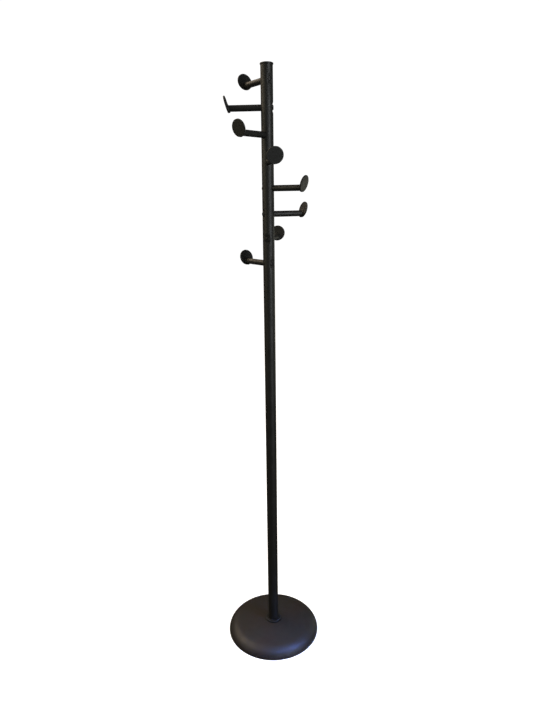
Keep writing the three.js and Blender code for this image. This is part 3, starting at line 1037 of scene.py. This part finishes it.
# %% Finish the CAD pieces that stay
STAYING = {
    "base_weight": iron,
    "foot_bush": zinc,
    "lower_joint_bush_below": zinc,
    "lower_joint_bush_above": zinc,
    "lower_joint_stud": zinc,
    "upper_joint_bush_below": zinc,
    "upper_joint_bush_above": zinc,
    "upper_joint_stud": zinc,
}
for node, finish in STAYING.items():
    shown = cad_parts[node]
    shown.data.materials.clear()
    shown.data.materials.append(finish)
print("CAD nodes that stay:", len(STAYING))

# %% [markdown]
# ## Floor and light
#
# The stand is on a plain pale floor in a bright room. A real floor would throw its light back up at
# the stand. This one is kept out of the reflections, so that the base's rim and the undersides of
# the rods stay dark, as they are on a stand that stands on a small sheet.


# %% The floor
def pale_floor():
    bpy.ops.mesh.primitive_plane_add(size=40)
    floor = named("floor")
    material, tree, shader = new_finish("pale_floor")
    tint = ramp(tree, grain(tree, 900, detail=2).outputs["Fac"], 0.2, 0.8)
    colour = mix_colour(tree, tint, (0.86, 0.86, 0.86), (0.90, 0.90, 0.90))
    tree.links.new(colour, shader.inputs["Base Color"])
    shader.inputs["Roughness"].default_value = 0.9
    shader.inputs["Specular IOR Level"].default_value = 0.1
    shader.inputs["Emission Color"].default_value = (1, 1, 1, 1)
    shader.inputs["Emission Strength"].default_value = 0.88
    floor.data.materials.append(material)
    floor.visible_glossy = False
    floor.visible_diffuse = False


pale_floor()

# %% [markdown]
# Warm soft lights stand on the left and high behind it, and neutral ones on the right and low behind
# it, where they catch the discs that face away. A narrow cool one on the right, like a window's
# glint, tints only the base's shoulder. The room itself is bright overhead and dim near the floor,
# so the base is lighter than the post's middle.


# %% The lights
def soft_light(name, place, target, size, power, colour, spread=180):
    data = bpy.data.lights.new(name, "AREA")
    data.shape = "RECTANGLE"
    data.size, data.size_y = size
    data.energy = power
    data.color = colour
    data.spread = math.radians(spread)
    light = bpy.data.objects.new(name, data)
    light.location = place
    light.rotation_euler = (Vector(target) - Vector(place)).to_track_quat("-Z", "Y").to_euler()
    light.visible_camera = False
    bpy.context.scene.collection.objects.link(light)


def bright_room(seen, overhead, level, below):
    """A world that the camera sees at one brightness and that lights the stand from dim to bright."""
    world = bpy.data.worlds.new("room")
    world.use_nodes = True
    bpy.context.scene.world = world
    tree = world.node_tree
    background = tree.nodes["Background"]
    background.inputs["Color"].default_value = (1, 1, 1, 1)
    direction = tree.nodes.new("ShaderNodeTexCoord")
    parts = tree.nodes.new("ShaderNodeSeparateXYZ")
    tree.links.new(direction.outputs["Generated"], parts.inputs["Vector"])
    heights = tree.nodes.new("ShaderNodeFloatCurve")
    tree.links.new(parts.outputs["Z"], heights.inputs["Value"])
    curve = heights.mapping.curves[0]
    heights.mapping.use_clip = False
    curve.points[0].location = (-1, below)
    curve.points[1].location = (1, overhead)
    curve.points.new(0, level)
    heights.mapping.update()
    ray = tree.nodes.new("ShaderNodeLightPath")
    strength = tree.nodes.new("ShaderNodeMix")
    tree.links.new(ray.outputs["Is Camera Ray"], strength.inputs["Factor"])
    tree.links.new(heights.outputs["Value"], strength.inputs["A"])
    strength.inputs["B"].default_value = seen
    tree.links.new(strength.outputs["Result"], background.inputs["Strength"])


soft_light("warm_back_left", (-4.05, 3.16, 6.2), (0, 0, 0.6), (2.5, 2.5), 150, (1.0, 0.80, 0.58))
soft_light("warm_high_left", (-2.2, 0.2, 2.75), (0, 0, 0.4), (1.2, 1.2), 15, (1.0, 0.84, 0.62), 120)
soft_light("left_wall", (-2.7, -1.3, 1.9), (0, 0, 1.5), (2.4, 2.0), 5, (1.0, 0.94, 0.70), 90)
soft_light("low_back_right", (2.0, 1.5, 0.8), (0, 0, 0.9), (1.2, 1.4), 2.8, (1.0, 1.0, 0.84), 120)
soft_light("right_wall", (1.9, -2.2, 1.45), (0, 0, 1.0), (1.3, 2.0), 9, (0.94, 0.98, 1.0), 70)
soft_light("cool_right", (0.60, -0.52, 1.06), (0.06, -0.16, 0.02), (0.3, 0.3), 0.6, (0.20, 0.34, 1.0), 16)
bright_room(seen=1.05, overhead=0.26, level=0.05, below=0.1)
bpy.context.scene.view_settings.view_transform = "Standard"
print("lights placed")
